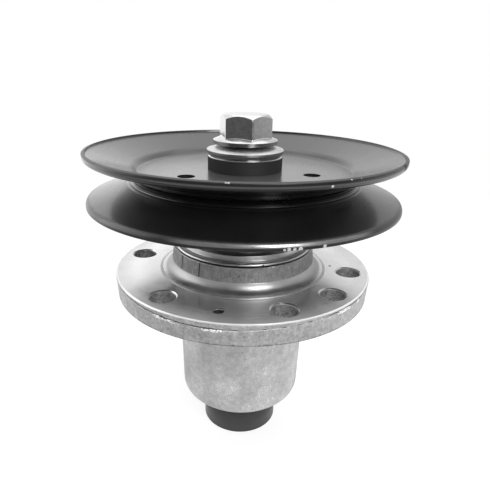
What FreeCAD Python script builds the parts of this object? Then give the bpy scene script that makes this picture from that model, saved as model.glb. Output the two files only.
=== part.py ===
# Mower deck spindle: a cast housing, a shaft in two sealed ball bearings and a stamped V-belt pulley.
# Frame: millimetres, +Z up along the spindle's axis, origin in the middle of the flange's deck face.
import FreeCAD, Part
import math
import os
import re

import Sketcher

Vector = FreeCAD.Vector

# Driving sizes in millimetres, angles in degrees.
SIZES = {
    # Housing casting
    "flange_od": 135.8,
    "flange_thick": 11.0,
    "flange_draft": 0.6,
    "flange_bevel": 0.6,
    "boss_height": 12.5,
    "boss_foot_od": 77.7,
    "boss_draft": 1.45,
    "boss_round": 5.0,
    "land_width": 5.55,
    "land_step": 0.2,
    "cup_depth": 66.8,
    "cup_top_od": 70.3,
    "cup_bottom_od": 67.0,
    "cup_round": 6.7,
    "cup_foot_round": 3.5,
    "shoulder_height": 2.5,
    # Holes in the flange, all on one circle
    "deck_hole_dia": 12.5,
    "deck_hole_circle": 114.3,
    "deck_hole_count": 6,
    "spare_hole_turn": -30.0,
    "vent_hole_dia": 5.5,
    "vent_hole_turn": -90.0,
    "hole_bevel": 0.7,
    # Ball bearings, both alike
    "bearing_bore": 25.0,
    "bearing_od": 52.0,
    "bearing_width": 15.0,
    "ring_share": 0.237,
    "ball_share": 0.588,
    "ball_count": 9,
    "ball_play": 0.05,
    "race_curvature": 0.52,
    "cage_wall": 2.9,
    "cage_seal_gap": 0.38,
    "cage_claw": 1.8,
    "pocket_play": 0.45,
    "seal_thick": 1.2,
    "seal_recess": 0.5,
    "seal_lip_gap": 0.15,
    "upper_bearing_drop": 5.5,
    "lower_bearing_drop": 5.8,
    # Shaft, spacer and slinger
    "neck_od": 31.0,
    "collar_od": 42.6,
    "collar_height": 20.0,
    "collar_gap": 1.5,
    "collar_bevel": 0.8,
    "shaft_top_gap": 2.2,
    "blade_thread_bore": 13.5,
    "blade_thread_depth": 38.0,
    "bolt_hole_depth": 34.0,
    "spacer_od": 32.0,
    "slinger_od": 66.6,
    "slinger_gap": 0.4,
    "slinger_lip_width": 3.1,
    "slinger_lip_thick": 1.0,
    "slinger_rim": 4.1,
    "slinger_step": 1.0,
    "slinger_step_od": 55.0,
    "slinger_bevel": 0.4,
    # Pulley and its hub
    "hub_od": 38.1,
    "hub_length": 42.4,
    "hub_bevel": 1.5,
    "hub_flange_od": 46.0,
    "hub_flange_thick": 4.0,
    "groove_rise": 31.75,
    "pulley_od": 158.75,
    "sheet_thick": 2.6,
    "root_od": 110.8,
    "shoulder_width": 3.2,
    "shoulder_slope": 40.0,
    "root_bend": 1.5,
    "shoulder_bend": 6.0,
    "groove_angle": 38.0,
    "web_hole_dia": 8.5,
    "web_hole_circle": 70.6,
    "web_hole_count": 3,
    "web_hole_turn": -11.0,
    # Key, spring washer and bolt
    "key_size": 4.76,
    "key_length": 25.4,
    "key_drop": 8.0,
    "washer_od": 39.2,
    "washer_bore": 16.6,
    "washer_thick": 2.6,
    "washer_slope": 14.0,
    "washer_bevel": 0.5,
    "bolt_dia": 15.875,
    "bolt_length": 35.0,
    "bolt_flange_od": 32.6,
    "bolt_flange_rim": 1.9,
    "bolt_flange_slope": 20.0,
    "bolt_head_height": 14.3,
    "bolt_flats": 23.8,
    "bolt_turn": -5.9,
    "bolt_bevel_slope": 30.0,
    # Clearances, measured on the radius
    "press_gap": 0.01,
    "slip_gap": 0.02,
    "thread_gap": 0.05,
    "key_gap": 0.03,
}

# Sizes of the bearings that follow from the height of their section, bore to outside.
FOLLOWING = {
    "section": "=(bearing_od - bearing_bore) / 2",
    "ring_wall": "=section * ring_share",
    "inner_land_od": "=bearing_bore + 2 * ring_wall",
    "outer_land_od": "=bearing_od - 2 * ring_wall",
    "ball_circle": "=bearing_bore + section",
    "ball_dia": "=section * ball_share",
    "race_dia": "=ball_dia * 2 * race_curvature",
}

# Heights that follow from the driving sizes.
BOSS_TOP = "(flange_thick + boss_height)"
CUP_BOTTOM = "(-cup_depth)"
UPPER_TOP = f"({BOSS_TOP} - upper_bearing_drop)"
UPPER_BOTTOM = f"({UPPER_TOP} - bearing_width)"
LOWER_BOTTOM = f"({CUP_BOTTOM} + lower_bearing_drop)"
LOWER_TOP = f"({LOWER_BOTTOM} + bearing_width)"
COLLAR_TOP = f"({CUP_BOTTOM} - collar_gap)"
COLLAR_BOTTOM = f"({COLLAR_TOP} - collar_height)"
SLINGER_UNDER = f"({BOSS_TOP} + slinger_gap)"
SLINGER_RIM_TOP = f"({SLINGER_UNDER} + slinger_rim)"
HUB_BOTTOM = f"({SLINGER_RIM_TOP} + slinger_step)"
HUB_TOP = f"({HUB_BOTTOM} + hub_length)"
GROOVE_MIDDLE = f"({HUB_BOTTOM} + groove_rise)"
SHAFT_TOP = f"({HUB_TOP} - shaft_top_gap)"
KEY_TOP = f"({SHAFT_TOP} - key_drop)"
HUB_SEAT = "(hub_od / 2 - hub_bevel)"
WASHER_CREST = (
    f"({HUB_TOP} + washer_thick / cos(washer_slope)"
    f" + ({HUB_SEAT} - washer_bore / 2) * tan(washer_slope))"
)

doc = FreeCAD.newDocument("mower_deck_spindle")
sheet = doc.addObject("Spreadsheet::Sheet", "Sizes")
cells = {**SIZES, **FOLLOWING}
for row, (alias, content) in enumerate(cells.items(), 1):
    sheet.set(f"A{row}", alias)
    sheet.setAlias(f"B{row}", alias)
    sheet.set(f"B{row}", str(content))
doc.recompute()


def bound(text):
    """The text with each size's name turned into a reference to its cell."""
    return re.sub(r"[a-z_]+", lambda word: f"Sizes.{word[0]}" if word[0] in cells else word[0], text)


def size(alias):
    return float(sheet.get(alias))


def new_body(label, height="0"):
    """An empty body whose local origin stands at a height on the spindle's axis."""
    body = doc.addObject("PartDesign::Body", label)
    body.Label = label
    body.setExpression("Placement.Base.z", bound(height))
    return body


def new_sketch(body, role, offset="0"):
    """A sketch on one of the body's own planes, lifted off it by an offset."""
    sketch = body.newObject("Sketcher::SketchObject", f"{body.Name}_sketch")
    plane = next(f for f in body.Origin.OriginFeatures if f.Role == role)
    sketch.AttachmentSupport = [(plane, "")]
    sketch.MapMode = "FlatFace"
    sketch.setExpression("AttachmentOffset.Base.z", bound(offset))
    return sketch


def pin(sketch, line, end, x, y):
    """Bind one point of a sketch to its two coordinates."""
    for kind, text in (("DistanceX", x), ("DistanceY", y)):
        index = sketch.addConstraint(Sketcher.Constraint(kind, -1, 1, line, end, 1.0))
        sketch.setExpression(f"Constraints[{index}]", bound(text))


def draw_outline(sketch, corners):
    """A closed outline of straight lines, each corner bound to its two coordinates."""
    count = len(corners)
    start = [Vector(math.cos(i / count * math.tau), math.sin(i / count * math.tau)) for i in range(count)]
    for i in range(count):
        sketch.addGeometry(Part.LineSegment(start[i], start[(i + 1) % count]))
    for i in range(count):
        sketch.addConstraint(Sketcher.Constraint("Coincident", i, 2, (i + 1) % count, 1))
    for i, (x, y) in enumerate(corners):
        pin(sketch, i, 1, x, y)


def draw_circle(sketch, x, y, diameter):
    line = sketch.addGeometry(Part.Circle(Vector(0, 0, 0), Vector(0, 0, 1), 1.0))
    index = sketch.addConstraint(Sketcher.Constraint("Diameter", line, 2.0))
    sketch.setExpression(f"Constraints[{index}]", bound(diameter))
    pin(sketch, line, 3, x, y)


def turned(body, corners):
    """Turn an outline of (radius, height) corners about the axis. Returns its sketch."""
    sketch = new_sketch(body, "XZ_Plane")
    draw_outline(sketch, list(corners.values()))
    revolution = body.newObject("PartDesign::Revolution", f"{body.Name}_turned")
    revolution.Profile = sketch
    revolution.ReferenceAxis = (sketch, ["V_Axis"])
    revolution.Angle = 360
    doc.recompute()
    return sketch


def turned_groove(body, sketch):
    """Cut a sketch on the XZ plane out of the body, all round the axis."""
    groove = body.newObject("PartDesign::Groove", f"{body.Name}_groove")
    groove.Profile = sketch
    groove.ReferenceAxis = (sketch, ["V_Axis"])
    groove.Angle = 360
    doc.recompute()


def drilled(body, sketch):
    """Cut a sketch on the XY plane right through the body, both ways."""
    pocket = body.newObject("PartDesign::Pocket", f"{body.Name}_holes")
    pocket.Profile = sketch
    pocket.Type = "ThroughAll"
    pocket.Midplane = True
    doc.recompute()
    return pocket


def repeated_round(body, feature, count):
    """Repeat a feature evenly round the axis."""
    pattern = body.newObject("PartDesign::PolarPattern", f"{body.Name}_pattern")
    pattern.Originals = [feature]
    pattern.Axis = (next(f for f in body.Origin.OriginFeatures if f.Role == "Z_Axis"), [""])
    pattern.Angle = 360
    pattern.setExpression("Occurrences", bound(count))
    body.Tip = pattern
    doc.recompute()


def softened(body, kind, measure, edges):
    """Round or bevel the named edges of the body's latest shape."""
    feature = body.newObject(f"PartDesign::{kind}", f"{body.Name}_{kind}")
    feature.Base = (feature.BaseFeature, edges)
    feature.setExpression("Radius" if kind == "Fillet" else "Size", bound(measure))
    doc.recompute()


def swept_edges(body, corners, sketch, names):
    """Names of the round edges that the named corners of a turned outline swept out."""
    order = list(corners)
    points = [sketch.Geometry[order.index(name)].StartPoint for name in names]
    return [
        f"Edge{number}"
        for number, edge in enumerate(body.Shape.Edges, 1)
        if isinstance(edge.Curve, Part.Circle)
        and any(
            math.isclose(edge.Curve.Radius, p.x, abs_tol=1e-4)
            and math.isclose(edge.Curve.Center.z - body.Placement.Base.z, p.y, abs_tol=1e-4)
            for p in points
        )
    ]


def make_housing():
    """Casting: drafted flange, boss above it and cup below, bored for both bearings."""
    body = new_body("housing")
    seat = "(bearing_od / 2 + press_gap)"
    corners = {
        "boss_mouth": (seat, BOSS_TOP),
        "upper_seat": (seat, UPPER_BOTTOM),
        "upper_shoulder": ("bearing_od / 2 - shoulder_height", UPPER_BOTTOM),
        "lower_shoulder": ("bearing_od / 2 - shoulder_height", LOWER_TOP),
        "lower_seat": (seat, LOWER_TOP),
        "cup_mouth": (seat, CUP_BOTTOM),
        "cup_bottom": ("cup_bottom_od / 2", CUP_BOTTOM),
        "cup_foot": ("cup_top_od / 2", "0"),
        "flange_under": ("flange_od / 2 - flange_draft", "0"),
        "flange_side": ("flange_od / 2", "flange_thick - flange_bevel"),
        "flange_top": ("flange_od / 2 - flange_bevel", "flange_thick"),
        "land_edge": ("boss_foot_od / 2 + land_width", "flange_thick"),
        "land_top": ("boss_foot_od / 2 + land_width", "flange_thick + land_step"),
        "boss_foot": ("boss_foot_od / 2", "flange_thick + land_step"),
        "boss_top": ("boss_foot_od / 2 - boss_draft", BOSS_TOP),
    }
    sketch = turned(body, corners)
    for corner, measure in (
        ("boss_foot", "boss_round"),
        ("cup_bottom", "min(cup_round; (cup_bottom_od - bearing_od) * 0.45)"),
        ("cup_foot", "cup_foot_round"),
    ):
        softened(body, "Fillet", measure, swept_edges(body, corners, sketch, [corner]))
    one_hole = new_sketch(body, "XY_Plane")
    draw_circle(one_hole, "deck_hole_circle / 2", "0", "deck_hole_dia")
    repeated_round(body, drilled(body, one_hole), "deck_hole_count")
    others = new_sketch(body, "XY_Plane")
    for turn, diameter in (
        ("spare_hole_turn", "deck_hole_dia"),
        ("(spare_hole_turn + 180)", "deck_hole_dia"),
        ("vent_hole_turn", "vent_hole_dia"),
    ):
        across = f"deck_hole_circle / 2 * cos({turn})"
        along = f"deck_hole_circle / 2 * sin({turn})"
        draw_circle(others, across, along, diameter)
    drilled(body, others)
    rims = [
        f"Edge{number}"
        for number, edge in enumerate(body.Shape.Edges, 1)
        if isinstance(edge.Curve, Part.Circle)
        and math.isclose(edge.Curve.Radius, size("deck_hole_dia") / 2, abs_tol=1e-4)
        and math.isclose(edge.Curve.Center.z, size("flange_thick"), abs_tol=1e-4)
    ]
    softened(body, "Chamfer", "hole_bevel", rims)
    return body


def faceted_ball(radius, bands):
    """A ball of flat facets whose corners lie on the sphere, in bands from pole to pole."""
    sides = 8
    levels = [math.pi * band / bands - math.pi / 2 for band in range(1, bands)]
    rings = [
        [
            Vector(math.cos(level) * math.cos(a), math.cos(level) * math.sin(a), math.sin(level)) * radius
            for a in (math.tau * side / sides for side in range(sides))
        ]
        for level in levels
    ]
    bottom = Vector(0, 0, -radius)
    top = Vector(0, 0, radius)
    loops = []
    for side in range(sides):
        after = (side + 1) % sides
        loops.append([bottom, rings[0][after], rings[0][side]])
        loops.append([top, rings[-1][side], rings[-1][after]])
        for low, high in zip(rings, rings[1:]):
            loops.append([low[side], low[after], high[after], high[side]])
    faces = [Part.Face(Part.makePolygon(loop + loop[:1])) for loop in loops]
    return Part.Solid(Part.Shell(faces))


def ring_of_balls(radius, bands):
    """Balls of one radius, evenly spaced on the ball circle at height 0."""
    count = int(size("ball_count"))
    ball = faceted_ball(radius, bands)
    balls = []
    for number in range(count):
        copy = ball.copy()
        copy.translate(Vector(size("ball_circle") / 2, 0, 0))
        copy.rotate(Vector(0, 0, 0), Vector(0, 0, 1), 360 * number / count)
        balls.append(copy)
    return Part.makeCompound(balls)


def make_bearing_ring(label, height, bore, outside, race_centre):
    """One ring of a ball bearing: a plain ring with a round raceway cut all round it."""
    body = new_body(label, height)
    turned(body, {
        "bore_bottom": (bore, "-bearing_width / 2"),
        "outside_bottom": (outside, "-bearing_width / 2"),
        "outside_top": (outside, "bearing_width / 2"),
        "bore_top": (bore, "bearing_width / 2"),
    })
    race = new_sketch(body, "XZ_Plane")
    draw_circle(race, race_centre, "0", "race_dia")
    turned_groove(body, race)
    return body


def make_seal(label, height, direction):
    """Rubber seal clipped into the outer ring, with its lip just clear of the inner ring."""
    body = new_body(label, height)
    face = f"{direction} * (bearing_width / 2 - seal_recess)"
    back = f"{direction} * (bearing_width / 2 - seal_recess - seal_thick)"
    lip = "inner_land_od / 2 + seal_lip_gap"
    rim = "outer_land_od / 2 - press_gap"
    turned(body, {
        "lip_face": (lip, face),
        "rim_face": (rim, face),
        "rim_back": (rim, back),
        "lip_back": (lip, back),
    })
    return body


def make_cage(label, height):
    """Crown cage: a ring with a claw between each pair of balls."""
    outer = doc.addObject("Part::Cylinder", f"{label}_outer")
    inner = doc.addObject("Part::Cylinder", f"{label}_inner")
    floor = "-(bearing_width / 2 - seal_recess - seal_thick - cage_seal_gap)"
    for cylinder, diameter in ((outer, "ball_circle + cage_wall"), (inner, "ball_circle - cage_wall")):
        cylinder.setExpression("Radius", bound(f"({diameter}) / 2"))
        cylinder.setExpression("Height", bound(f"cage_claw - ({floor})"))
        cylinder.setExpression("Placement.Base.z", bound(floor))
    ring = doc.addObject("Part::Cut", f"{label}_ring")
    ring.Base = outer
    ring.Tool = inner
    pockets = doc.addObject("Part::Feature", f"{label}_pockets")
    pockets.Shape = ring_of_balls(size("ball_dia") / 2 + size("pocket_play"), 4)
    cage = doc.addObject("Part::Cut", label)
    cage.Label = label
    cage.Base = ring
    cage.Tool = pockets
    cage.setExpression("Placement.Base.z", bound(height))
    return cage


def make_balls(label, height):
    balls = doc.addObject("Part::Feature", label)
    balls.Label = label
    balls.Shape = ring_of_balls(size("ball_dia") / 2, 6)
    balls.setExpression("Placement.Base.z", bound(height))
    return balls


def make_bearing(name, bottom):
    """One sealed ball bearing, whose lower faces stand at a height."""
    middle = f"({bottom} + bearing_width / 2)"
    reach = "(ball_dia / 2 + ball_play - race_dia / 2)"
    return [
        make_bearing_ring(
            f"{name}_bearing_outer_ring", middle,
            "outer_land_od / 2", "bearing_od / 2", f"ball_circle / 2 + {reach}",
        ),
        make_bearing_ring(
            f"{name}_bearing_inner_ring", middle,
            "bearing_bore / 2", "inner_land_od / 2", f"ball_circle / 2 - {reach}",
        ),
        make_balls(f"{name}_bearing_balls", middle),
        make_cage(f"{name}_bearing_cage", middle),
        make_seal(f"{name}_bearing_top_seal", middle, "1"),
        make_seal(f"{name}_bearing_bottom_seal", middle, "-1"),
    ]


def cut_keyway(body, floor, low, high):
    """Cut a slot for the key outwards from a distance off the axis, between two heights."""
    slot = new_sketch(body, "YZ_Plane", floor)
    half = "(key_size / 2 + key_gap)"
    draw_outline(slot, [(f"-{half}", low), (half, low), (half, high), (f"-{half}", high)])
    before = body.Shape.Volume
    pocket = body.newObject("PartDesign::Pocket", f"{body.Name}_keyway")
    pocket.Profile = slot
    pocket.Type = "Length"
    pocket.Reversed = True
    pocket.setExpression("Length", bound("key_size"))
    doc.recompute()
    if body.Shape.Volume >= before:
        raise RuntimeError(f"the keyway of {body.Label} cut nothing")


def make_shaft():
    """Turned shaft with its blade collar, tapped at both ends and slotted for the key."""
    body = new_body("spindle_shaft")
    shaft = "(bearing_bore / 2 - slip_gap)"
    bolt_hole = "(bolt_dia / 2 + thread_gap)"
    blade_hole = "(blade_thread_bore / 2)"
    bolt_hole_floor = f"({SHAFT_TOP} - bolt_hole_depth)"
    blade_hole_floor = f"({COLLAR_BOTTOM} + blade_thread_depth)"
    corners = {
        "blade_hole_mouth": (blade_hole, COLLAR_BOTTOM),
        "collar_bottom": ("collar_od / 2", COLLAR_BOTTOM),
        "collar_top": ("collar_od / 2", COLLAR_TOP),
        "neck_foot": ("neck_od / 2", COLLAR_TOP),
        "neck_top": ("neck_od / 2", LOWER_BOTTOM),
        "shaft_foot": (shaft, LOWER_BOTTOM),
        "shaft_top": (shaft, SHAFT_TOP),
        "bolt_hole_mouth": (bolt_hole, SHAFT_TOP),
        "bolt_hole_end": (bolt_hole, bolt_hole_floor),
        "bolt_hole_middle": ("0", bolt_hole_floor),
        "blade_hole_middle": ("0", blade_hole_floor),
        "blade_hole_end": (blade_hole, blade_hole_floor),
    }
    sketch = turned(body, corners)
    ends = swept_edges(body, corners, sketch, ["collar_bottom", "collar_top", "shaft_top"])
    softened(body, "Chamfer", "collar_bevel", ends)
    floor = "(bearing_bore / 2 - slip_gap - key_size / 2)"
    cut_keyway(body, floor, f"{KEY_TOP} - key_length - key_gap", f"{KEY_TOP} + key_gap")
    return body


def make_spacer():
    """Tube that keeps the inner rings of the two bearings apart."""
    body = new_body("bearing_spacer_tube")
    bore = "bearing_bore / 2"
    turned(body, {
        "bore_bottom": (bore, LOWER_TOP),
        "outside_bottom": ("spacer_od / 2", LOWER_TOP),
        "outside_top": ("spacer_od / 2", UPPER_BOTTOM),
        "bore_top": (bore, UPPER_BOTTOM),
    })
    return body


def make_slinger():
    """Turned ring with a thin lip over the housing's mouth, which carries the pulley hub."""
    body = new_body("dust_slinger")
    bore = "bearing_bore / 2"
    lip = "slinger_od / 2 + slinger_lip_width"
    lip_top = f"{SLINGER_UNDER} + slinger_lip_thick"
    corners = {
        "bore_bottom": (bore, UPPER_TOP),
        "foot": ("inner_land_od / 2", UPPER_TOP),
        "foot_top": ("inner_land_od / 2", SLINGER_UNDER),
        "lip_bottom": (lip, SLINGER_UNDER),
        "lip_top": (lip, lip_top),
        "rim_foot": ("slinger_od / 2", lip_top),
        "rim_top": ("slinger_od / 2", SLINGER_RIM_TOP),
        "step_foot": ("slinger_step_od / 2", SLINGER_RIM_TOP),
        "step_top": ("slinger_step_od / 2", HUB_BOTTOM),
        "bore_top": (bore, HUB_BOTTOM),
    }
    sketch = turned(body, corners)
    softened(body, "Chamfer", "slinger_bevel", swept_edges(body, corners, sketch, ["rim_top"]))
    return body


def make_hub():
    """Turned pulley hub with a flange that the pulley's webs are seated on."""
    body = new_body("pulley_hub")
    bore = "bearing_bore / 2"
    seat = f"({GROOVE_MIDDLE} - sheet_thick)"
    corners = {
        "bore_bottom": (bore, HUB_BOTTOM),
        "bottom": ("hub_od / 2", HUB_BOTTOM),
        "flange_under": ("hub_od / 2", f"{seat} - hub_flange_thick"),
        "flange_bottom": ("hub_flange_od / 2", f"{seat} - hub_flange_thick"),
        "flange_top": ("hub_flange_od / 2", seat),
        "seat": ("hub_od / 2", seat),
        "top": ("hub_od / 2", HUB_TOP),
        "bore_top": (bore, HUB_TOP),
    }
    sketch = turned(body, corners)
    softened(body, "Chamfer", "hub_bevel", swept_edges(body, corners, sketch, ["top"]))
    slot = new_sketch(body, "XY_Plane")
    half = "(key_size / 2 + key_gap)"
    depth = "(bearing_bore / 2 - slip_gap + key_size / 2 + key_gap)"
    draw_outline(slot, [("0", f"-{half}"), (depth, f"-{half}"), (depth, half), ("0", half)])
    drilled(body, slot)
    return body


def make_pulley_half(label, direction):
    """Stamped dish: flat web, steep shoulder at the groove's root, then the belt's cone."""
    body = new_body(label, GROOVE_MIDDLE)
    shoulder = "(root_od / 2 + shoulder_width)"
    shoulder_rise = "(shoulder_width * tan(shoulder_slope))"
    cone_slope = "(groove_angle / 2)"
    rim_rise = f"({shoulder_rise} + (pulley_od / 2 - {shoulder}) * tan{cone_slope})"

    def outer_corner(radius, rise, first_slope, next_slope):
        """The corner of the far face, one sheet thickness off two strips that meet at an angle."""
        middle = f"(({first_slope} + {next_slope}) / 2)"
        reach = f"sheet_thick / cos(({next_slope} - {first_slope}) / 2)"
        across = f"{radius} - {reach} * sin({middle})"
        up = f"{rise} + {reach} * cos({middle})"
        return across, f"{direction} * ({up})"

    bore = "(hub_od / 2 + slip_gap)"
    corners = {
        "bore_near": (bore, "0"),
        "root_near": ("root_od / 2", "0"),
        "shoulder_near": (shoulder, f"{direction} * {shoulder_rise}"),
        "rim_near": ("pulley_od / 2", f"{direction} * {rim_rise}"),
        "rim_far": ("pulley_od / 2", f"{direction} * ({rim_rise} + sheet_thick / cos{cone_slope})"),
        "shoulder_far": outer_corner(shoulder, shoulder_rise, "shoulder_slope", cone_slope),
        "root_far": outer_corner("root_od / 2", "0", "0", "shoulder_slope"),
        "bore_far": (bore, f"{direction} * sheet_thick"),
    }
    sketch = turned(body, corners)
    for corner, measure in (
        ("root_near", "root_bend + sheet_thick"),
        ("root_far", "root_bend"),
        ("shoulder_near", "shoulder_bend"),
        ("shoulder_far", "shoulder_bend + sheet_thick"),
    ):
        softened(body, "Fillet", measure, swept_edges(body, corners, sketch, [corner]))
    one_hole = new_sketch(body, "XY_Plane")
    across = "web_hole_circle / 2 * cos(web_hole_turn)"
    along = "web_hole_circle / 2 * sin(web_hole_turn)"
    draw_circle(one_hole, across, along, "web_hole_dia")
    repeated_round(body, drilled(body, one_hole), "web_hole_count")
    return body


def make_key():
    """Square key, half in the shaft and half in the hub."""
    key = doc.addObject("Part::Box", "drive_key")
    key.Label = "drive_key"
    key.setExpression("Length", bound("key_size"))
    key.setExpression("Width", bound("key_size"))
    key.setExpression("Height", bound("key_length"))
    key.setExpression("Placement.Base.x", bound("bearing_bore / 2 - slip_gap - key_size / 2"))
    key.setExpression("Placement.Base.y", bound("-key_size / 2"))
    key.setExpression("Placement.Base.z", bound(f"{KEY_TOP} - key_length"))
    return key


def make_washer():
    """Coned spring washer, standing on the edge of the hub's top and crowned under the bolt."""
    body = new_body("cone_spring_washer")
    under = f"({HUB_TOP} + ({HUB_SEAT} - %s) * tan(washer_slope))"
    upper = f"({WASHER_CREST} - (%s - washer_bore / 2) * tan(washer_slope))"
    inside = "washer_bore / 2"
    outside = "washer_od / 2"
    heel = "(washer_od / 2 - washer_bevel)"
    turned(body, {
        "bore_bottom": (inside, under % f"({inside})"),
        "heel": (heel, under % heel),
        "rim_bottom": (outside, f"{under % heel} + washer_bevel"),
        "rim_top": (outside, upper % f"({outside})"),
        "crest": (inside, WASHER_CREST),
    })
    return body


def make_bolt():
    """Flanged hex bolt: shank and coned flange turned, hexagon raised on them, its corners bevelled."""
    body = new_body("pulley_bolt", WASHER_CREST)
    shank = "bolt_dia / 2"
    flange = "(bolt_flange_od / 2)"
    corner = "(bolt_flats / 2 / cos(30))"
    turned(body, {
        "shank_middle": ("0", "-bolt_length"),
        "shank_end": (shank, "-bolt_length"),
        "shank_top": (shank, "0"),
        "flange_bottom": (flange, "0"),
        "flange_rim": (flange, "bolt_flange_rim"),
        "cone_top": ("bolt_flats / 4", f"bolt_flange_rim + ({flange} - bolt_flats / 4) * tan(bolt_flange_slope)"),
        "cone_middle": ("0", f"bolt_flange_rim + ({flange} - bolt_flats / 4) * tan(bolt_flange_slope)"),
    })
    hexagon = new_sketch(body, "XY_Plane")
    turns = [f"(bolt_turn + {60 * k})" for k in range(6)]
    draw_outline(hexagon, [(f"{corner} * cos{turn}", f"{corner} * sin{turn}") for turn in turns])
    head = body.newObject("PartDesign::Pad", "pulley_bolt_head")
    head.Profile = hexagon
    head.setExpression("Length", bound("bolt_head_height"))
    doc.recompute()
    bevel = new_sketch(body, "XZ_Plane")
    inner = "(bolt_flats / 2 * 0.96)"
    outer = f"({corner} + bolt_flats / 10)"
    drop = f"({outer} - {inner}) * tan(bolt_bevel_slope)"
    draw_outline(bevel, [
        (inner, "bolt_head_height"),
        (outer, "bolt_head_height"),
        (outer, f"bolt_head_height - {drop}"),
    ])
    turned_groove(body, bevel)
    return body


parts = [
    make_housing(),
    *make_bearing("upper", UPPER_BOTTOM),
    *make_bearing("lower", LOWER_BOTTOM),
    make_shaft(),
    make_spacer(),
    make_slinger(),
    make_hub(),
    make_pulley_half("pulley_upper_half", "1"),
    make_pulley_half("pulley_lower_half", "-1"),
    make_key(),
    make_washer(),
    make_bolt(),
]
doc.recompute()

for item in doc.Objects:
    if "Invalid" in item.State or "Error" in item.State:
        raise RuntimeError(f"{item.Name} did not recompute: {item.State}")
for part in parts:
    if part.Shape.isNull() or not part.Shape.isValid():
        raise RuntimeError(f"{part.Label} has no valid shape")

os.makedirs("parts", exist_ok=True)
for part in parts:
    part.Shape.exportStep(f"parts/{part.Label}.step")
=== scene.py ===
import math
import random

import bmesh
import bpy
from mathutils import Matrix, Vector


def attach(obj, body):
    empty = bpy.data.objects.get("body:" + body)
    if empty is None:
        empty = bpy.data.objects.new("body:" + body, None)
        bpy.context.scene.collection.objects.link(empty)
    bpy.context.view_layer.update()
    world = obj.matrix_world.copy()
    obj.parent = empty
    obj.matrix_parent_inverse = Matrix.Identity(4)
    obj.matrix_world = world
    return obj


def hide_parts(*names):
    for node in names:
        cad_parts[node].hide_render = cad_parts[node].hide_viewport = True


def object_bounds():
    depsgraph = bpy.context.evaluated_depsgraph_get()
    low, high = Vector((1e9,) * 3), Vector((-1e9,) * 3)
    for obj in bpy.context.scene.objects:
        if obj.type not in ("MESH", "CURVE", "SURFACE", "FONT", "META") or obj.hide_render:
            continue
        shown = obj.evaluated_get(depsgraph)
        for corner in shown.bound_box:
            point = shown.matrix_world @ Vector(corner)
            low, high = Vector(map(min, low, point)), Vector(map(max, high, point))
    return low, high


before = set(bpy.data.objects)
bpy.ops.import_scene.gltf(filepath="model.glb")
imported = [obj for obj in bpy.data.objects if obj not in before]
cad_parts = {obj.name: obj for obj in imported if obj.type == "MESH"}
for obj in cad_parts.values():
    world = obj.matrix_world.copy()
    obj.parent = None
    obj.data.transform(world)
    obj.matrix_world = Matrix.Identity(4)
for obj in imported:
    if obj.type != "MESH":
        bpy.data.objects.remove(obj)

cad_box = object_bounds()


# Housing: one aluminium casting, with a bolt flange, a boss above it and a cup below.
# The flange's face, the cove, the boss's rim and the bores are turned bright, the holes are
# drilled, and the rest keeps the grey, slightly mottled skin that it took from the mould.
# Sizes are in millimetres, angles in degrees and greys from 0 to 1.
mm = 0.001
bore_reach = 26.5
face_start, side_top, cove_foot, cove_end, boss_end = 10.45, 10.4, 11.4, 16.0, 23.35
land_start, land_end, edge_start = 43.6, 45.0, 66.0
hole_circle, holes_start, holes_end = 57.15, 45.0, 65.5
flange_radius, edge_foot_radius, edge_draft = 67.8, 67.3, 0.6
seam_height, seam_flat, seam_rise = 7.7, 12.0, 0.04
torn_places = ((-110.0, 8.2, 7.5), (-90.5, 7.5, 5.5), (-35.5, 8.6, 5.5), (-25.0, 8.9, 2.0))
boss_lines = (-133.0, -113.3)
skin_grey, edge_grey, boss_grey, hole_grey, vent_shade_grey = 0.55, 0.55, 0.3, 0.38, 0.13
turned_grey, gap_shadow_grey = 0.8, 0.03


class Wire:
    """A socket of a node tree; sums on it add Math nodes to the tree."""

    def __init__(self, tree, socket=None):
        self.tree = tree
        self.socket = socket

    def node(self, kind, settings, sockets, output=0):
        """Add a node: its settings first, then values or wires for its sockets."""
        made = self.tree.nodes.new(kind)
        for name, value in settings.items():
            setattr(made, name, value)
        for key, value in sockets.items():
            if isinstance(value, Wire):
                self.tree.links.new(value.socket, made.inputs[key])
            else:
                made.inputs[key].default_value = value
        return Wire(self.tree, made.outputs[output] if made.outputs else None)

    def sum(self, operation, *terms):
        """Add a Math node."""
        return self.node("ShaderNodeMath", {"operation": operation}, dict(enumerate(terms)))

    def __add__(self, other):
        return self.sum("ADD", self, other)

    def __sub__(self, other):
        return self.sum("SUBTRACT", self, other)

    def __rsub__(self, other):
        return self.sum("SUBTRACT", other, self)

    def __mul__(self, other):
        return self.sum("MULTIPLY", self, other)

    def __pow__(self, other):
        return self.sum("POWER", self, other)

    __radd__ = __add__
    __rmul__ = __mul__


def step(value, low, high):
    """A mask that rises smoothly from 0 to 1 as a value goes from low to high."""
    limits = {"Value": value, "From Min": low, "From Max": high}
    return value.node("ShaderNodeMapRange", {"interpolation_type": "SMOOTHSTEP"}, limits)


def band(value, low, high, soft):
    """A mask that is 1 between two limits, with soft edges."""
    return step(value, low - soft, low + soft) * (1 - step(value, high - soft, high + soft))


def blend(mask, first, second):
    """One value where the mask is 0 and another where it is 1."""
    return mask * second + (1 - mask) * first


def sway(pattern, amount):
    """What a pattern of noise, with its middle at a half, adds to a value or takes from it."""
    return (pattern - 0.5) * amount


def grey(value):
    """A colour with the same red, green and blue."""
    return value.node("ShaderNodeCombineColor", {}, {"Red": value, "Green": value, "Blue": value})


def noise(place, grain, detail=2.0, stretch=None):
    """Noise with grains of about one size, in metres, or stretched along the axes."""
    if stretch:
        place = place.node("ShaderNodeMapping", {}, {"Vector": place, "Scale": stretch})
    return place.node("ShaderNodeTexNoise", {}, {"Vector": place, "Scale": 1 / grain, "Detail": detail})


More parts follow.
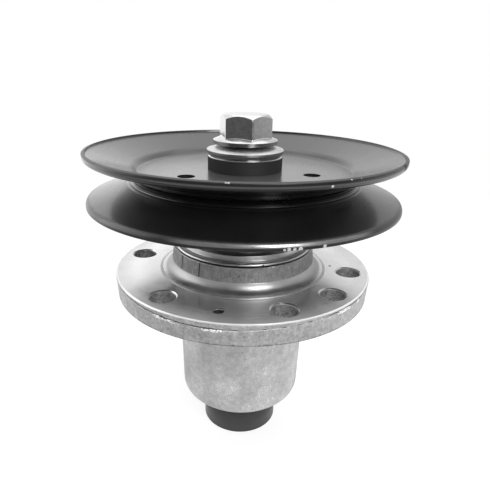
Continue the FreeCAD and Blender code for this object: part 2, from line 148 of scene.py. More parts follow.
def rings(distance, pitch):
    """Noise along one distance only, as a turning tool leaves on a face or a cylinder."""
    sockets = {"W": distance, "Scale": 1 / pitch, "Detail": 3.0}
    return distance.node("ShaderNodeTexNoise", {"noise_dimensions": "1D"}, sockets)


def relief(height, depth):
    """A Bump normal whose height of 1 stands one depth, in metres, off the surface."""
    return height.node("ShaderNodeBump", {}, {"Height": height, "Distance": depth, "Strength": 1.0})


def new_material(name):
    """An empty material, with wires for a point's place, its distance from the axis and its height."""
    material = bpy.data.materials.new(name)
    material.use_nodes = True
    material.node_tree.nodes.clear()
    start = Wire(material.node_tree)
    place = start.node("ShaderNodeTexCoord", {}, {}, "Object")
    x, y, z = (place.node("ShaderNodeSeparateXYZ", {}, {"Vector": place}, axis) for axis in range(3))
    radius = (x * x + y * y) ** 0.5
    return material, place, radius, z


def coat(place, sockets):
    """Close a material's tree with its shader."""
    shader = place.node("ShaderNodeBsdfPrincipled", {}, sockets)
    place.node("ShaderNodeOutputMaterial", {}, {"Surface": shader})


def dress(node, material):
    """Give a solid of the frame its finished material."""
    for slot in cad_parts[node].material_slots:
        slot.material = material


def near(place, angle, radius, height, reach, ragged=0.0):
    """A mask round a point at an angle in degrees, a radius and a height, with a ragged edge if given."""
    a = math.radians(angle)
    point = (radius * math.cos(a), radius * math.sin(a), height)
    away = place.node("ShaderNodeVectorMath", {"operation": "DISTANCE"}, {0: place, 1: point}, "Value")
    return 1 - step(away + ragged, 0.6 * reach, reach)


def most(*masks):
    """The largest of some masks."""
    largest = masks[0]
    for other in masks[1:]:
        largest = largest.sum("MAXIMUM", largest, other)
    return largest


def across(place, angle):
    """How far a point lies off the plane through the axis at an angle in degrees, on its own side."""
    a = math.radians(angle)
    side, ahead = (math.sin(a), -math.cos(a), 0), (math.cos(a), math.sin(a), 0)
    off, front = (
        place.node("ShaderNodeVectorMath", {"operation": "DOT_PRODUCT"}, {0: place, 1: line}, "Value")
        for line in (side, ahead)
    )
    return off.sum("ABSOLUTE", off) + (1 - step(front, 0, 1 * mm))


# Where each surface of the casting lies.
cast_skin, place, radius, height = new_material("cast_aluminium_skin")
bores = 1 - step(radius, bore_reach * mm, (bore_reach + 0.5) * mm)
face = band(height, face_start * mm, cove_end * mm, 0.25 * mm)
mouth = step(height, (boss_end - 0.05) * mm, (boss_end + 0.1) * mm)
turned = most(face, mouth, bores)
cove = band(height, cove_foot * mm, cove_end * mm, 0.3 * mm)
# Painted shade and light in the cove: its colour is darkened at the foot and lightened, less metallic, near
# the top.
painted_light_cove_top = cove * step(height, 12.2 * mm, 15.0 * mm)
land_edge = band(radius, land_start * mm, land_end * mm, 0.3 * mm) * face
# Painted shade: the inner part of the flange's face, near the cove, is darkened.
painted_shade_inner_face = 1 - step(radius, 46 * mm, 60 * mm)
# Painted highlight: a lighter, less metallic line round the outer rim of the flange's face.
painted_highlight_rim_line = step(radius, 66.9 * mm, 67.2 * mm) * face
boss = band(height, cove_end * mm, boss_end * mm, 0.2 * mm) * (1 - bores)
edge = step(radius, edge_start * mm, (edge_start + 0.4) * mm) * (1 - face)
hole_walls = band(height, 0.2 * mm, 10.3 * mm, 0.1 * mm)
drilled = band(radius, holes_start * mm, holes_end * mm, 0.5 * mm) * hole_walls
# Painted shade: the wall of the small vent hole is darkened.
painted_shade_vent = near(place, -90, hole_circle * mm, 5.0 * mm, 9.5 * mm)

# The grain of the skin and the marks of the tools.
mottle = noise(place, 3.0 * mm, 4.0)
grain = noise(place, 0.55 * mm, 3.0)
scale = noise(place, 1.3 * mm, 5.0)
streaks = noise(place, 0.5 * mm, 3.0, (1, 1, 0.12))
swirl = noise(place, 1.5 * mm, 5.0, (1, 1, 2.5))
stain = noise(place, 9.0 * mm, 5.0)
patch = noise(place, 13.0 * mm, 3.0)
fine_spots = noise(place, 0.7 * mm, 2.0)
sparkle = step(fine_spots, 0.6, 0.7)
specks = step(fine_spots, 0.6, 0.68)
pits = step(noise(place, 0.9 * mm, 2.0), 0.69, 0.74)
marks = rings(radius, 0.4 * mm)
# Painted shadow: the foot of the flange's edge is darkened.
painted_shadow_edge_foot = (1 - step(height + sway(scale, 1.2 * mm), 0.2 * mm, 0.7 * mm)) * edge

# The seam of the mould on the flange's edge: a broken dark line, a thin gap whose darkness is painted
# shadow, with torn metal below it, bright with painted glints.
sideways = place.node("ShaderNodeSeparateXYZ", {}, {"Vector": place}, "X")
past_flat = sideways.sum("MAXIMUM", sideways.sum("ABSOLUTE", sideways) - seam_flat * mm, 0)
above_seam = height - (past_flat * seam_rise + seam_height * mm) + sway(scale, 0.8 * mm)
seam_line = 1 - step(above_seam.sum("ABSOLUTE", above_seam - 0.4 * mm), 0.1 * mm, 0.24 * mm)
dashes = step(noise(place, 3.0 * mm, 2.0), 0.52, 0.58)
unbroken = most(1 - step(sideways, -8 * mm, -4 * mm), step(sideways, 46 * mm, 50 * mm), dashes)
seam_gap_shadow = seam_line * edge * unbroken
torn = most(*(
    near(place, angle, flange_radius * mm, level * mm, reach * mm) for angle, level, reach in torn_places
))
burst = step(noise(place, 1.0 * mm, 3.0, (1, 1, 1.6)) + torn * 0.16, 0.58, 0.63)
# Painted highlight: glints on the torn metal below the seam, lighter and smoother.
painted_glint = burst * edge * band(above_seam, -1.3 * mm, 0.1 * mm, 0.3 * mm) * (0.25 + 0.75 * torn)

# Two upright dark lines on the boss and one dark spot on the face.
dark_spot = near(place, 7.7, 48.0 * mm, 11.0 * mm, 0.9 * mm)
dark_lines = most(*(1 - step(across(place, angle), 0.22 * mm, 0.5 * mm) for angle in boss_lines)) * boss
# Dark marks on the casting, together with the seam's painted shadow.
marks_and_gap_shadow = most(dark_spot, dark_lines, seam_gap_shadow)

skin_shade = (
    skin_grey + sway(mottle, 0.32) + sway(grain, 0.55) + sway(patch, 0.4)
    - pits * 0.22 + sparkle * step(patch, 0.48, 0.6) * 0.4
)
edge_shade = (
    edge_grey + sway(scale, 0.55) + sway(mottle, 0.4) + sway(grain, 0.3)
    + painted_glint * 1.1 - painted_shadow_edge_foot * 0.27
)
boss_shade = boss_grey + sway(streaks, 0.3) + sway(mottle, 0.3) + sway(grain, 0.3) - specks * 0.12
drilled_shade = blend(painted_shade_vent, hole_grey + sway(swirl, 1.1), vent_shade_grey)
cast_shade = blend(edge, blend(drilled, blend(boss, skin_shade, boss_shade), drilled_shade), edge_shade)
cast_metal = 0.45 + drilled * 0.3 + edge * 0.2
cast_rough = 0.55 - drilled * 0.17 + sway(grain, 0.2) - sparkle * 0.15 - painted_glint * 0.25
cast_height = mottle * 0.5 + grain * 0.35 - pits * 0.5 + drilled * swirl * 0.8 + edge * scale * 0.9
turned_shade = (
    turned_grey + sway(marks, 0.1) + sway(stain, 0.26)
    - cove * 0.25 + painted_light_cove_top * 0.15 - painted_shade_inner_face * 0.12 + painted_highlight_rim_line * 0.2
)
turned_metal = 0.95 - 0.5 * step(radius, 54 * mm, 70 * mm) - painted_highlight_rim_line * 0.25 - painted_light_cove_top * 0.35
turned_rough = 0.21 + cove * 0.2 + land_edge * 0.2 + sway(marks, 0.06) + sway(stain, 0.25)
coat(place, {
    "Base Color": grey(blend(marks_and_gap_shadow, blend(turned, cast_shade, turned_shade), gap_shadow_grey)),
    "Metallic": blend(turned, cast_metal, turned_metal),
    "Roughness": blend(turned, cast_rough, turned_rough),
    "Normal": relief(blend(turned, cast_height, marks * 0.008) - marks_and_gap_shadow * 0.8, 0.18 * mm),
})
dress("housing", cast_skin)


def linked(name, data):
    """A new object in the scene."""
    made = bpy.data.objects.new(name, data)
    bpy.context.scene.collection.objects.link(made)
    return made


# Ragged flash on the flange's edge, where the two halves of the mould met: a thin closed ring, with
# four points in each section. It stands out furthest at the first three torn places.
chance = random.Random(7)
flash_count, wander_run, peak_power = 900, 10, 41
wander = [chance.uniform(-1, 1) for _ in range(flash_count // wander_run)]
flash_points = []
flash_faces = []
for k in range(flash_count):
    angle = math.tau * k / flash_count
    knot, past_knot = divmod(k, wander_run)
    share = past_knot / wander_run
    slow = wander[knot] * (1 - share) + wander[(knot + 1) % len(wander)] * share
    seam_lift = seam_rise * max(0, abs(flange_radius * math.cos(angle)) - seam_flat)
    seam_level = (seam_height + seam_lift + 0.15 * slow + chance.uniform(-0.08, 0.08)) * mm
    thick = max(math.cos(angle - math.radians(torn_at)) for torn_at, _, _ in torn_places[:3]) ** peak_power
    stand = (0.06 + 0.3 * thick + 0.12 * max(0, slow) + chance.uniform(0, 0.1 + 0.25 * thick)) * mm
    wall = (edge_foot_radius + edge_draft * seam_level / (side_top * mm)) * mm
    root_in = -0.3 * mm
    for out, rise in ((root_in, -0.7), (stand, -0.15), (stand * 0.6, 0.1), (root_in, 0.25)):
        reach = wall + out
        flash_points.append((reach * math.cos(angle), reach * math.sin(angle), seam_level + rise * mm))
    here, ahead = 4 * k, 4 * ((k + 1) % flash_count)
    for i in range(4):
        flash_faces.append([here + i, ahead + i, ahead + (i + 1) % 4, here + (i + 1) % 4])
flash_mesh = bpy.data.meshes.new("parting_flash")
flash_mesh.from_pydata(flash_points, [], flash_faces)
flash_mesh.materials.append(cast_skin)
flash = linked("parting_flash", flash_mesh)
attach(flash, "frame")


# Two sealed ball bearings: hardened steel rings and balls, a moulded nylon crown cage between
# them, and a rubber seal clipped into the outer ring on each side. They sit hidden in the casting.
ring_steel, place, radius, height = new_material("ground_ring_steel")
ground = rings(height + radius, 0.2 * mm)
coat(place, {
    "Base Color": grey(0.55 + sway(ground, 0.08)),
    "Metallic": 1.0,
    "Roughness": 0.16 + ground * 0.1,
    "Normal": relief(ground, 0.003 * mm),
})
nylon, place, _, _ = new_material("moulded_nylon")
pellet = noise(place, 0.8 * mm)
coat(place, {
    "Base Color": grey(0.62 + sway(pellet, 0.06)),
    "Roughness": 0.42 + pellet * 0.1,
    "Normal": relief(pellet, 0.02 * mm),
})
rubber, place, radius, _ = new_material("seal_rubber")
bloom = noise(place, 1.2 * mm, 4.0)
coat(place, {
    "Base Color": grey(0.022 + sway(bloom, 0.012)),
    "Roughness": 0.55 + bloom * 0.2,
    "Normal": relief(rings(radius, 0.5 * mm), 0.02 * mm),
})
for bearing in ("upper", "lower"):
    for part, material in (
        ("outer_ring", ring_steel), ("inner_ring", ring_steel), ("balls", ring_steel),
        ("cage", nylon), ("top_seal", rubber), ("bottom_seal", rubber),
    ):
        dress(f"{bearing}_bearing_{part}", material)


# Spindle shaft: one turned steel piece. Below the cup it has a dark collar, which the mower blade
# is bolted against. The spacer tube on it and the square key are plain steel and can't be seen.
dark_steel, place, radius, height = new_material("dark_turned_steel")
collar_feed = rings(height + radius, 0.4 * mm)
cloud = noise(place, 5.0 * mm, 3.0)
coat(place, {
    "Base Color": grey(0.095 + sway(cloud, 0.03) + sway(collar_feed, 0.02)),
    "Metallic": 1.0,
    "Roughness": 0.38 + sway(cloud, 0.12),
    "Normal": relief(collar_feed, 0.006 * mm),
})
plain_steel, place, _, _ = new_material("plain_drawn_steel")
drawn = noise(place, 0.6 * mm, 3.0, (1, 1, 0.06))
coat(place, {
    "Base Color": grey(0.4 + sway(drawn, 0.12)),
    "Metallic": 1.0,
    "Roughness": 0.34 + drawn * 0.12,
    "Normal": relief(drawn, 0.01 * mm),
})
dress("bearing_spacer_tube", plain_steel)
dress("drive_key", plain_steel)


def new_tree(name, inputs):
    """An empty Geometry Nodes tree, with a wire for each of its named inputs."""
    tree = bpy.data.node_groups.new(name, "GeometryNodeTree")
    for title, kind in inputs.items():
        tree.interface.new_socket(title, in_out="INPUT", socket_type=f"NodeSocket{kind}")
    tree.interface.new_socket("Piece", in_out="OUTPUT", socket_type="NodeSocketGeometry")
    start = Wire(tree)
    return tree, start, {title: start.node("NodeGroupInput", {}, {}, title) for title in inputs}


def cut_away(geometry, cutters):
    """The geometry with the cutters taken out of it."""
    settings = {"operation": "DIFFERENCE", "solver": "EXACT"}
    return geometry.node("GeometryNodeMeshBoolean", settings, {"Mesh 1": geometry, "Mesh 2": cutters})


def close_tree(geometry, finish):
    """End a tree: the geometry made real, in one material."""
    whole = geometry.node("GeometryNodeRealizeInstances", {}, {"Geometry": geometry})
    painted = geometry.node("GeometryNodeSetMaterial", {}, {"Geometry": whole, "Material": finish})
    geometry.node("NodeGroupOutput", {}, {"Piece": painted})


def smoothed(mesh):
    """Point a mesh's faces outwards and shade it smooth, apart from its sharp edges."""
    shape = bmesh.new()
    shape.from_mesh(mesh)
    bmesh.ops.remove_doubles(shape, verts=shape.verts, dist=1e-6)
    bmesh.ops.recalc_face_normals(shape, faces=shape.faces)
    shape.to_mesh(mesh)
    shape.free()
    for name in ("sharp_face", "sharp_edge"):
        if name in mesh.attributes:
            mesh.attributes.remove(mesh.attributes[name])
    mesh.set_sharp_from_angle(angle=math.radians(35))


def grown(name, mesh, tree, sizes):
    """A finished piece: a mesh put through a tree whose inputs are given by name."""
    piece = linked(name, mesh)
    modifier = piece.modifiers.new("grown", "NODES")
    modifier.node_group = tree
    for item in tree.interface.items_tree:
        if item.name in sizes:
            modifier[item.identifier] = sizes[item.name]
    graph = bpy.context.evaluated_depsgraph_get()
    piece.data = bpy.data.meshes.new_from_object(piece.evaluated_get(graph))
    piece.modifiers.remove(modifier)
    smoothed(piece.data)
    return piece


# The blade bolt's thread, 5/8 in with 11 turns to the inch, is cut up into the collar.
threading, thread, given = new_tree("cut_thread", {
    "Blank": "Geometry", "Start": "Float", "Pitch": "Float", "Turns": "Float", "Root Radius": "Float",
    "Cutter": "Float", "Finish": "Material",
})
blank = thread.node("GeometryNodeMergeByDistance", {}, {"Geometry": given["Blank"], "Distance": 1e-6})
path_radius = given["Root Radius"] - given["Cutter"]
spiral = thread.node("GeometryNodeCurveSpiral", {}, {
    "Resolution": 40, "Rotations": given["Turns"], "Start Radius": path_radius, "End Radius": path_radius,
    "Height": given["Turns"] * given["Pitch"], "Reverse": False,
})
path = thread.node("GeometryNodeSetCurveNormal", {"mode": "Z_UP"}, {"Curve": spiral})
cutter = thread.node("GeometryNodeCurvePrimitiveCircle", {}, {"Resolution": 3, "Radius": given["Cutter"]})
groove = thread.node("GeometryNodeCurveToMesh", {}, {
    "Curve": path, "Profile Curve": cutter, "Fill Caps": True,
})
thread_start = thread.node("ShaderNodeCombineXYZ", {}, {"Z": given["Start"]})
groove_in_place = thread.node("GeometryNodeTransform", {}, {"Geometry": groove, "Translation": thread_start})
close_tree(cut_away(blank, groove_in_place), given["Finish"])
shaft = grown("threaded_shaft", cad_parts["spindle_shaft"].data.copy(), threading, {
    "Start": -89.5 * mm, "Pitch": 2.309 * mm, "Turns": 13.5, "Root Radius": 7.9 * mm, "Cutter": 1.067 * mm,
    "Finish": dark_steel,
})
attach(shaft, "rotor")
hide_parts("spindle_shaft")


# Dust slinger: a turned steel ring above the housing's mouth, with a thin lip at its foot. It turns
# with the shaft and carries the hub.
shaft_fit, neck_radius, lip_radius, ring_radius, seat_radius = 12.5, 15.7, 36.4, 33.3, 27.5
neck_foot, lip_foot, lip_top, ring_top, seat_top = 18.0, 23.9, 25.2, 28.0, 29.0
bright_steel, place, radius, height = new_material("bright_turned_steel")
slinger_feed = rings(radius + height, 0.3 * mm)
tarnish = noise(place, 2.2 * mm, 4.0)
pit = near(place, -64.0, lip_radius * mm, 24.2 * mm, 0.6 * mm)
coat(place, {
    "Base Color": grey((0.72 + sway(slinger_feed, 0.2) + sway(tarnish, 0.2)) * (1 - pit)),
    "Metallic": 1.0,
    "Roughness": 0.38 + sway(slinger_feed, 0.08) + sway(tarnish, 0.12),
    "Normal": relief(slinger_feed, 0.004 * mm),
})
# A turned piece is swept once round the axis from its outline, whose corners are rounded first, and
# then drilled on a circle of holes if it has any.
turning, lathe, given = new_tree("turned_piece", {
    "Outline": "Geometry", "Segments": "Int", "Round Steps": "Int", "Hole Count": "Int",
    "Hole Radius": "Float", "Hole Circle": "Float", "Hole Turn": "Float", "Hole Height": "Float",
    "Finish": "Material",
})
sweep_radius = 10 * mm
outline = lathe.node("GeometryNodeMeshToCurve", {}, {"Mesh": given["Outline"]})
corner = lathe.node("GeometryNodeInputNamedAttribute", {"data_type": "FLOAT"}, {"Name": "round"})
rounded = lathe.node("GeometryNodeFilletCurve", {"mode": "POLY"}, {
    "Curve": outline, "Count": given["Round Steps"], "Radius": corner, "Limit Radius": True,
})
circle = lathe.node("GeometryNodeCurvePrimitiveCircle", {}, {
    "Resolution": given["Segments"], "Radius": sweep_radius,
})
swept = lathe.node("GeometryNodeCurveToMesh", {}, {"Curve": circle, "Profile Curve": rounded})
hole_ring = lathe.node("GeometryNodeMeshCircle", {}, {
    "Vertices": given["Hole Count"], "Radius": given["Hole Circle"],
})
hole_turn = lathe.node("ShaderNodeCombineXYZ", {}, {"Z": given["Hole Turn"]})
hole_lift = lathe.node("ShaderNodeCombineXYZ", {}, {"Z": given["Hole Height"]})
hole_centres = lathe.node("GeometryNodeTransform", {}, {
    "Geometry": hole_ring, "Translation": hole_lift, "Rotation": hole_turn,
})
drill = lathe.node("GeometryNodeMeshCylinder", {}, {
    "Vertices": 48, "Radius": given["Hole Radius"], "Depth": 20 * mm,
})
drill_copies = lathe.node("GeometryNodeInstanceOnPoints", {}, {"Points": hole_centres, "Instance": drill})
drills = lathe.node("GeometryNodeRealizeInstances", {}, {"Geometry": drill_copies})
close_tree(cut_away(swept, drills), given["Finish"])


def turned_piece(name, corners, sizes):
    """A turned piece from its outline: radius, height and corner round, in millimetres."""
    count = len(corners)
    mesh = bpy.data.meshes.new(name)
    points = [(r * mm - sweep_radius, -z * mm, 0) for r, z, _ in corners]
    mesh.from_pydata(points, [(k, (k + 1) % count) for k in range(count)], [])
    mesh.attributes.new("round", "FLOAT", "POINT").data.foreach_set("value", [c * mm for _, _, c in corners])
    return grown(name, mesh, turning, sizes)


slinger = turned_piece("slinger_ring", [
    (shaft_fit, neck_foot, 0.0), (neck_radius, neck_foot, 0.3), (neck_radius, lip_foot, 0.0),
    (lip_radius, lip_foot, 0.2), (lip_radius, lip_top, 1.1), (ring_radius, lip_top, 0.3),
    (ring_radius, ring_top, 0.4), (seat_radius, ring_top, 0.2), (seat_radius, seat_top, 0.3),
    (shaft_fit, seat_top, 0.0),
], {"Segments": 160, "Round Steps": 5, "Hole Count": 0, "Finish": bright_steel})
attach(slinger, "rotor")
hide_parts("dust_slinger")


# Pulley hub: a turned steel sleeve with a flange, pressed into both sheet halves and sprayed a
# thin black that dries nearly matt. On the top bevel it is worn down to the steel.
hub_bevel = 69.9
hub_black, place, _, height = new_material("matt_black_hub")
spray = noise(place, 0.7 * mm, 3.0)
worn = step(height + sway(spray, 0.5 * mm), hub_bevel * mm, (hub_bevel + 0.4) * mm)
coat(place, {
    "Base Color": grey(blend(worn, 0.01 + sway(spray, 0.008), 0.7)),
    "Metallic": worn,
    "Roughness": blend(worn, 0.68 + sway(spray, 0.14), 0.14),
    "Normal": relief(spray, 0.02 * mm),
})
dress("pulley_hub", hub_black)


# Pulley: two dishes pressed from sheet steel and joined back to back, dipped in gloss black paint.
# Their cones make the V of the belt groove. The rims are worn and chipped, along the front of the lower
# one's edge a bare metal strip is painted in as a highlight, and the upper one has taken a knock.
sheet = 2.6
root, shoulder_width, pulley_radius, hub_radius = 55.4, 3.2, 79.375, 19.07
shoulder_slope, cone_slope = math.radians(40), math.radians(19)
groove_middle = 60.75
root_bend, cone_bend, rolled_edge, trimmed_edge = 1.5, 8.6, 2.5, 0.3
ridge, ridge_half, ridge_round, first_ridge = 0.4, 0.7, 0.3, 1.6
lip_width, burr_start = 1.8, 1.4
shoulder_rise = shoulder_width * math.tan(shoulder_slope)
rim_rise = shoulder_rise + (pulley_radius - root - shoulder_width) * math.tan(cone_slope)
upper_chips = (
    (-55.8, 71.7, 0.65), (-84.3, 74.0, 0.7), (-83.6, 74.0, 0.7), (-49.7, 73.84, 0.5),
    (-46.1, 73.93, 0.45), (-42.9, 74.04, 0.5), (-20.4, 74.0, 0.5), (-16.9, 74.0, 0.5),
)
lower_chips = (
    (-56.6, 48.7, 0.9), (-68.4, 48.6, 0.6), (-67.2, 48.75, 0.9), (-65.6, 48.7, 0.8), (-63.9, 48.65, 1.1),
)
knock_angle, knock_height, knock_reach, knock_start = -18.7, 73.6, 2.6, 77.8
knock_in, knock_down = 0.9, 1.1
gloss_black, place, radius, height = new_material("gloss_black_paint")
peel = noise(place, 2.4 * mm, 2.0)
haze = noise(place, 14.0 * mm, 4.0)
scuff = noise(place, 1.4 * mm, 5.0)
dust = step(noise(place, 0.5 * mm, 1.0), 0.76, 0.82)
settled = band(height, 63.2 * mm, 66.0 * mm, 0.1 * mm) * (1 - step(radius, 48 * mm, 54 * mm))
# A lighter band round the outer face of the upper rim.
lighter_rim_band = step(radius, 79.0 * mm, 79.2 * mm) * band(height, 71.6 * mm, 72.4 * mm, 0.2 * mm)
# Painted highlight: a lighter bare metal strip along the front of the lower rim's edge, where the lamp's
# streak falls.
highlight_strip_front = near(place, -69.5, 79 * mm, 50 * mm, 46 * mm)
highlight_strip_edge = step(radius + sway(scuff, 0.6 * mm), 78.2 * mm, 78.9 * mm)
highlight_bare_strip = highlight_strip_front * highlight_strip_edge * band(height, 49.5 * mm, 50.8 * mm, 0.3 * mm)
upper_edge = step(height, 73.1 * mm, 73.4 * mm)
lower_half = 1 - step(height, 60.0 * mm, 61.5 * mm)
worn_rim = step(radius + sway(scuff, 1.2 * mm), 76.8 * mm, 78.2 * mm) * most(upper_edge, 0.45 * lower_half)
dent = near(place, knock_angle, 79.2 * mm, 73.3 * mm, 1.6 * mm)
ragged = sway(noise(place, 0.5 * mm, 2.0), 0.8 * mm)
chips = most(*(
    near(place, angle, pulley_radius * mm, level * mm, reach * mm, ragged)
    for angle, level, reach in upper_chips + lower_chips
))
paint_shade = (
    0.006 + haze * 0.006 + settled * 0.06 + (dust + worn_rim * scuff) * 0.02
    + lighter_rim_band * 0.05 + highlight_bare_strip * 0.28 + chips * 0.55
)
coat(place, {
    "Base Color": grey(paint_shade),
    "Metallic": most(chips * 0.3, highlight_bare_strip * 0.75),
    "Roughness": 0.3 + worn_rim * (1 - highlight_bare_strip) * 0.14 + dent * 0.4 + sway(haze, 0.12) + sway(scuff, 0.1),
    "Coat Weight": (0.75 - 0.3 * scuff) * (1 - most(chips, highlight_bare_strip, worn_rim * 0.75, dent)),
    "Coat Roughness": 0.17,
    "Normal": relief(peel + scuff * 0.15 - chips * 0.5, 0.006 * mm),
})


def far_corner(out, rise, first_slope, next_slope):
    """The corner of the far face, one sheet thickness off two strips that meet at an angle."""
    middle = (first_slope + next_slope) / 2
    reach = sheet / math.cos((next_slope - first_slope) / 2)
    return out - reach * math.sin(middle), rise + reach * math.cos(middle)


def dish(name, node, side, burr):
    """One half of the pulley; side is 1 for the upper and -1 for the lower. Its rim has a small burr."""
    steep, shallow = math.tan(shoulder_slope), math.tan(cone_slope)
    far_rise = rim_rise + sheet / math.cos(cone_slope)
    ridges = [
        (root + start + off, start * steep + max(0, off) * shallow - drop, ridge_round)
        for start in (first_ridge, shoulder_width)
        for off, drop in ((-ridge_half, ridge_half * steep), (0, ridge), (ridge_half, -0.1))
    ]
    corners = [
        (hub_radius, 0, 0), (root, 0, root_bend + sheet), *ridges, (pulley_radius, rim_rise, rolled_edge),
        (pulley_radius, far_rise + 0.4 * burr, trimmed_edge),
        (pulley_radius - burr_start, far_rise + burr, 0.2),
        (pulley_radius - lip_width, far_rise - lip_width * shallow, 0.5),
        (*far_corner(root + shoulder_width, shoulder_rise, shoulder_slope, cone_slope), cone_bend),
        (*far_corner(root, 0, 0, shoulder_slope), root_bend), (hub_radius, sheet, 0),
    ]
    half = turned_piece(name, [(r, groove_middle + side * z, c) for r, z, c in corners], {
        "Segments": 384, "Round Steps": 6, "Hole Count": 3, "Hole Radius": 4.25 * mm,
        "Hole Circle": 35.3 * mm, "Hole Turn": math.radians(-11), "Hole Height": groove_middle * mm,
        "Finish": gloss_black,
    })
    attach(half, "rotor")
    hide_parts(node)
    return half


upper_dish = dish("pulley_dish_upper", "pulley_upper_half", 1, 0.7)
dish("pulley_dish_lower", "pulley_lower_half", -1, 0.1)

# The knock has pushed the upper rim in and down.
outward = Vector((math.cos(math.radians(knock_angle)), math.sin(math.radians(knock_angle)), 0))
knock = (outward * pulley_radius + Vector((0, 0, knock_height))) * mm
push = (outward * knock_in + Vector((0, 0, knock_down))) * mm
for vertex in upper_dish.data.vertices:
    if vertex.co.to_2d().length > knock_start * mm:
        vertex.co -= push * max(0, 1 - (vertex.co - knock).length / (knock_reach * mm))


# Bolt and coned spring washer: both zinc plated. The washer is pressed from thick spring steel and is
# duller, and its sheared wall and the underside below it are darkened as painted shade. The bolt has a
# hexagon head on a coned flange.
washer_bore, washer_seat, washer_bevel, washer_radius, washer_top_edge = 8.3, 17.55, 18.8, 19.6, 19.25
washer_foot, wall_foot, wall_top, bolt_seat = 71.4, 72.35, 73.36, 76.39
cone_rise = math.tan(math.radians(14))
zinc, place, _, height = new_material("bright_zinc_plate")
spangle = noise(place, 1.6 * mm, 3.0)
fine_grain = noise(place, 0.3 * mm, 2.0)
pressed = 1 - step(height, (bolt_seat - 0.05) * mm, (bolt_seat - 0.01) * mm)
# Painted shade: the washer's wall and the underside below it are darkened.
painted_shade_wall = 1 - step(height, 73.3 * mm, 73.5 * mm)
coat(place, {
    "Base Color": grey((0.6 + sway(spangle, 0.3) + sway(fine_grain, 0.16)) * (1 - 0.45 * painted_shade_wall)),
    "Metallic": 1.0,
    "Roughness": 0.21 + pressed * 0.2 + sway(fine_grain, 0.08) + sway(spangle, 0.1),
    "Normal": relief(spangle * 0.5 + fine_grain * 0.5, 0.004 * mm),
})
washer = turned_piece("coned_washer", [
    (washer_bore, washer_foot + (washer_seat - washer_bore) * cone_rise, 0),
    (washer_bevel, washer_foot - (washer_bevel - washer_seat) * cone_rise, 0),
    (washer_radius, wall_foot, 0.5), (washer_radius, wall_top, 0),
    (washer_top_edge, bolt_seat - (washer_top_edge - washer_bore) * cone_rise, 0),
    (washer_bore, bolt_seat, 0),
], {"Segments": 128, "Round Steps": 5, "Hole Count": 0, "Finish": zinc})
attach(washer, "rotor")
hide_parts("cone_spring_washer")

shank_radius, shank_end = 7.9375, 41.39
bolt_flange_radius, bolt_flange_top = 16.3, 78.29
bolt_flange_bevel, bolt_flange_slope = 0.15, math.radians(20)
half_flats, corner_round, head_turn = 11.9, 0.7, -5.9
head_top, bevel_start, bevel_slope, top_radius = 90.685, 11.1, math.radians(38), 6.0
half_side = math.radians(30)
corner_out = (half_flats - corner_round) / math.cos(half_side)
corner_end = math.atan2(corner_round * 0.5, corner_out + corner_round * math.cos(half_side))
corner_turns = [corner_end * (i / 3 - 1) for i in range(7)]
flat_turns = [corner_end + (2 * half_side - 2 * corner_end) * i / 16 for i in range(1, 16)]


def softened(corners):
    """The points of an outline in which each corner is rounded over its own reach."""
    points = []
    for n, (r, z, reach) in enumerate(corners):
        here = Vector((r, z))
        before, after = (
            here + (Vector(corners[(n + side) % len(corners)][:2]) - here).normalized() * reach
            for side in (-1, 1)
        )
        steps = (0, 0.25, 0.5, 0.75, 1) if reach else (0,)
        points += [before.lerp(here, t).lerp(here.lerp(after, t), t) for t in steps]
    return points


# The bolt is a closed grid: an outline from shank to top at each turn round the hexagon.
bolt_rows = []
for corner_number in range(6):
    for off in corner_turns + flat_turns:
        if off in corner_turns:
            beyond = corner_round ** 2 - (corner_out * math.sin(off)) ** 2
            hex_reach = corner_out * math.cos(off) + beyond ** 0.5
        else:
            hex_reach = half_flats / math.cos(off - half_side)
        hex_foot = bolt_flange_top + (bolt_flange_radius - hex_reach) * math.tan(bolt_flange_slope)
        bevel_foot = head_top - (hex_reach - bevel_start) * math.tan(bevel_slope)
        row = softened([
            (shank_radius, shank_end, 0), (shank_radius, bolt_seat, 0), (bolt_flange_radius, bolt_seat, 0),
            (bolt_flange_radius, bolt_flange_top - bolt_flange_bevel, 0),
            (bolt_flange_radius - bolt_flange_bevel, bolt_flange_top + 0.05, 0),
            (hex_reach, hex_foot, 0.4), (hex_reach, bevel_foot, 0.35), (bevel_start, head_top, 0.3),
            (top_radius, head_top, 0),
        ])
        angle = math.radians(head_turn + 60 * corner_number) + off
        bolt_rows.append([Vector((p.x * math.cos(angle), p.x * math.sin(angle), p.y)) * mm for p in row])
around, along = len(bolt_rows), len(bolt_rows[0])
bolt_faces = []
for k in range(around):
    here, ahead = k * along, (k + 1) % around * along
    for i in range(along - 1):
        bolt_faces.append([here + i, ahead + i, ahead + i + 1, here + i + 1])
bolt_faces += [[k * along + i for k in range(around)] for i in (0, along - 1)]
bolt_mesh = bpy.data.meshes.new("flanged_bolt")
bolt_mesh.from_pydata([point for row in bolt_rows for point in row], [], bolt_faces)
bolt_mesh.materials.append(zinc)
smoothed(bolt_mesh)
bolt = linked("flanged_bolt", bolt_mesh)
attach(bolt, "rotor")
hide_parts("pulley_bolt")


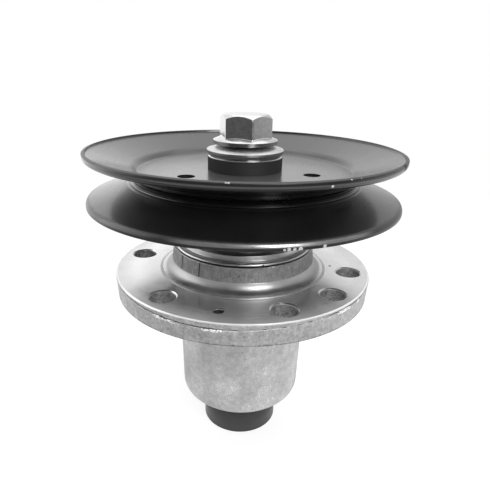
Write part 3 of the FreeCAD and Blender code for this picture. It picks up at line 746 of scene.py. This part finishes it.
# Stage: a plain pale floor under the collar, in a white room that is darker on the viewer's side.
# The camera sees both as nearly white, and the metal mirrors them. Three soft lamps light the object.
floor_level = cad_box[0].z - 0.2 * mm
floor_radius, floor_sides = 0.7, 64
floor_turns = [math.tau * k / floor_sides for k in range(floor_sides)]
floor_rim = [(floor_radius * math.cos(a), floor_radius * math.sin(a), floor_level) for a in floor_turns]
floor_mesh = bpy.data.meshes.new("floor")
floor_mesh.from_pydata(floor_rim, [], [list(range(floor_sides))])
floor = linked("floor", floor_mesh)
pale, place, _, _ = new_material("pale_floor")
floor_seen = place.node("ShaderNodeLightPath", {}, {}, "Is Camera Ray")
floor_mirrored = place.node("ShaderNodeLightPath", {}, {}, "Is Glossy Ray")
paint = place.node("ShaderNodeBsdfDiffuse", {}, {"Color": (0.9, 0.9, 0.9, 1)})
glow = place.node("ShaderNodeEmission", {}, {"Color": (1, 1, 1, 1), "Strength": 1.12})
behind = place.node("ShaderNodeSeparateXYZ", {}, {"Vector": place}, "Y")
mirror_shade = blend(step(behind, -0.15, 0.05), 0.25, 0.9)
mirror_glow = place.node("ShaderNodeEmission", {}, {"Color": grey(mirror_shade), "Strength": 1.0})
bright_floor = place.node("ShaderNodeMixShader", {}, {0: floor_seen * 0.72, 1: paint, 2: glow})
whole_floor = place.node("ShaderNodeMixShader", {}, {0: floor_mirrored, 1: bright_floor, 2: mirror_glow})
place.node("ShaderNodeOutputMaterial", {}, {"Surface": whole_floor})
floor_mesh.materials.append(pale)

viewer = Vector((0.0428, -0.2334, 0.1097))
toward_viewer = Vector((viewer.x, viewer.y, 0)).normalized()
dim_side = Vector((math.cos(0.9), math.sin(0.9), 0))
room = bpy.data.worlds.new("white_room")
room.use_nodes = True
room.node_tree.nodes.clear()
direction = Wire(room.node_tree).node("ShaderNodeTexCoord", {}, {}, "Generated")
facing, aside = (
    direction.node("ShaderNodeVectorMath", {"operation": "DOT_PRODUCT"}, {0: direction, 1: line}, "Value")
    for line in (toward_viewer, dim_side)
)
room_shade = blend(step(facing, -0.5, 0.45), 1.25, 0.12) * (1 - 0.5 * step(aside, 0.5, 1.0))
room_seen = direction.node("ShaderNodeLightPath", {}, {}, "Is Camera Ray")
room_color = grey(blend(room_seen, room_shade, 1.0))
walls = direction.node("ShaderNodeBackground", {}, {"Color": room_color, "Strength": 1.0})
direction.node("ShaderNodeOutputWorld", {}, {"Surface": walls})
bpy.context.scene.world = room

for name, lamp_place, width, depth, power in (
    ("overhead_softbox", (0.0, 0.2, 1.2), 1.2, 1.2, 4.0),
    ("front_softbox", (0.43, -0.61, 0.47), 0.22, 0.5, 6.0),
    ("left_fill", (-0.85, -0.2, 0.3), 0.8, 0.8, 2.3),
):
    light = bpy.data.lights.new(name, "AREA")
    light.shape = "RECTANGLE"
    light.size = width
    light.size_y = depth
    light.energy = power
    lamp = linked(name, light)
    lamp.location = lamp_place
    lamp.rotation_euler = (-Vector(lamp_place)).to_track_quat("-Z", "Y").to_euler()

camera_turn, camera_down, camera_roll = math.radians(10.4), math.radians(20.427), math.radians(1.309)
camera_data = bpy.data.cameras.new("photo_camera")
camera_data.sensor_width = 36.0
camera_data.lens = 34.0
camera_data.shift_x = 0.00396
camera_data.clip_start = 0.005
camera = linked("photo_camera", camera_data)
aim = Matrix.Rotation(camera_turn, 4, "Z") @ Matrix.Rotation(math.radians(90) - camera_down, 4, "X")
camera.matrix_world = Matrix.Translation(viewer) @ aim @ Matrix.Rotation(camera_roll, 4, "Z")
bpy.context.scene.camera = camera
bpy.context.scene.view_settings.view_transform = "Standard"

bpy.context.view_layer.update()
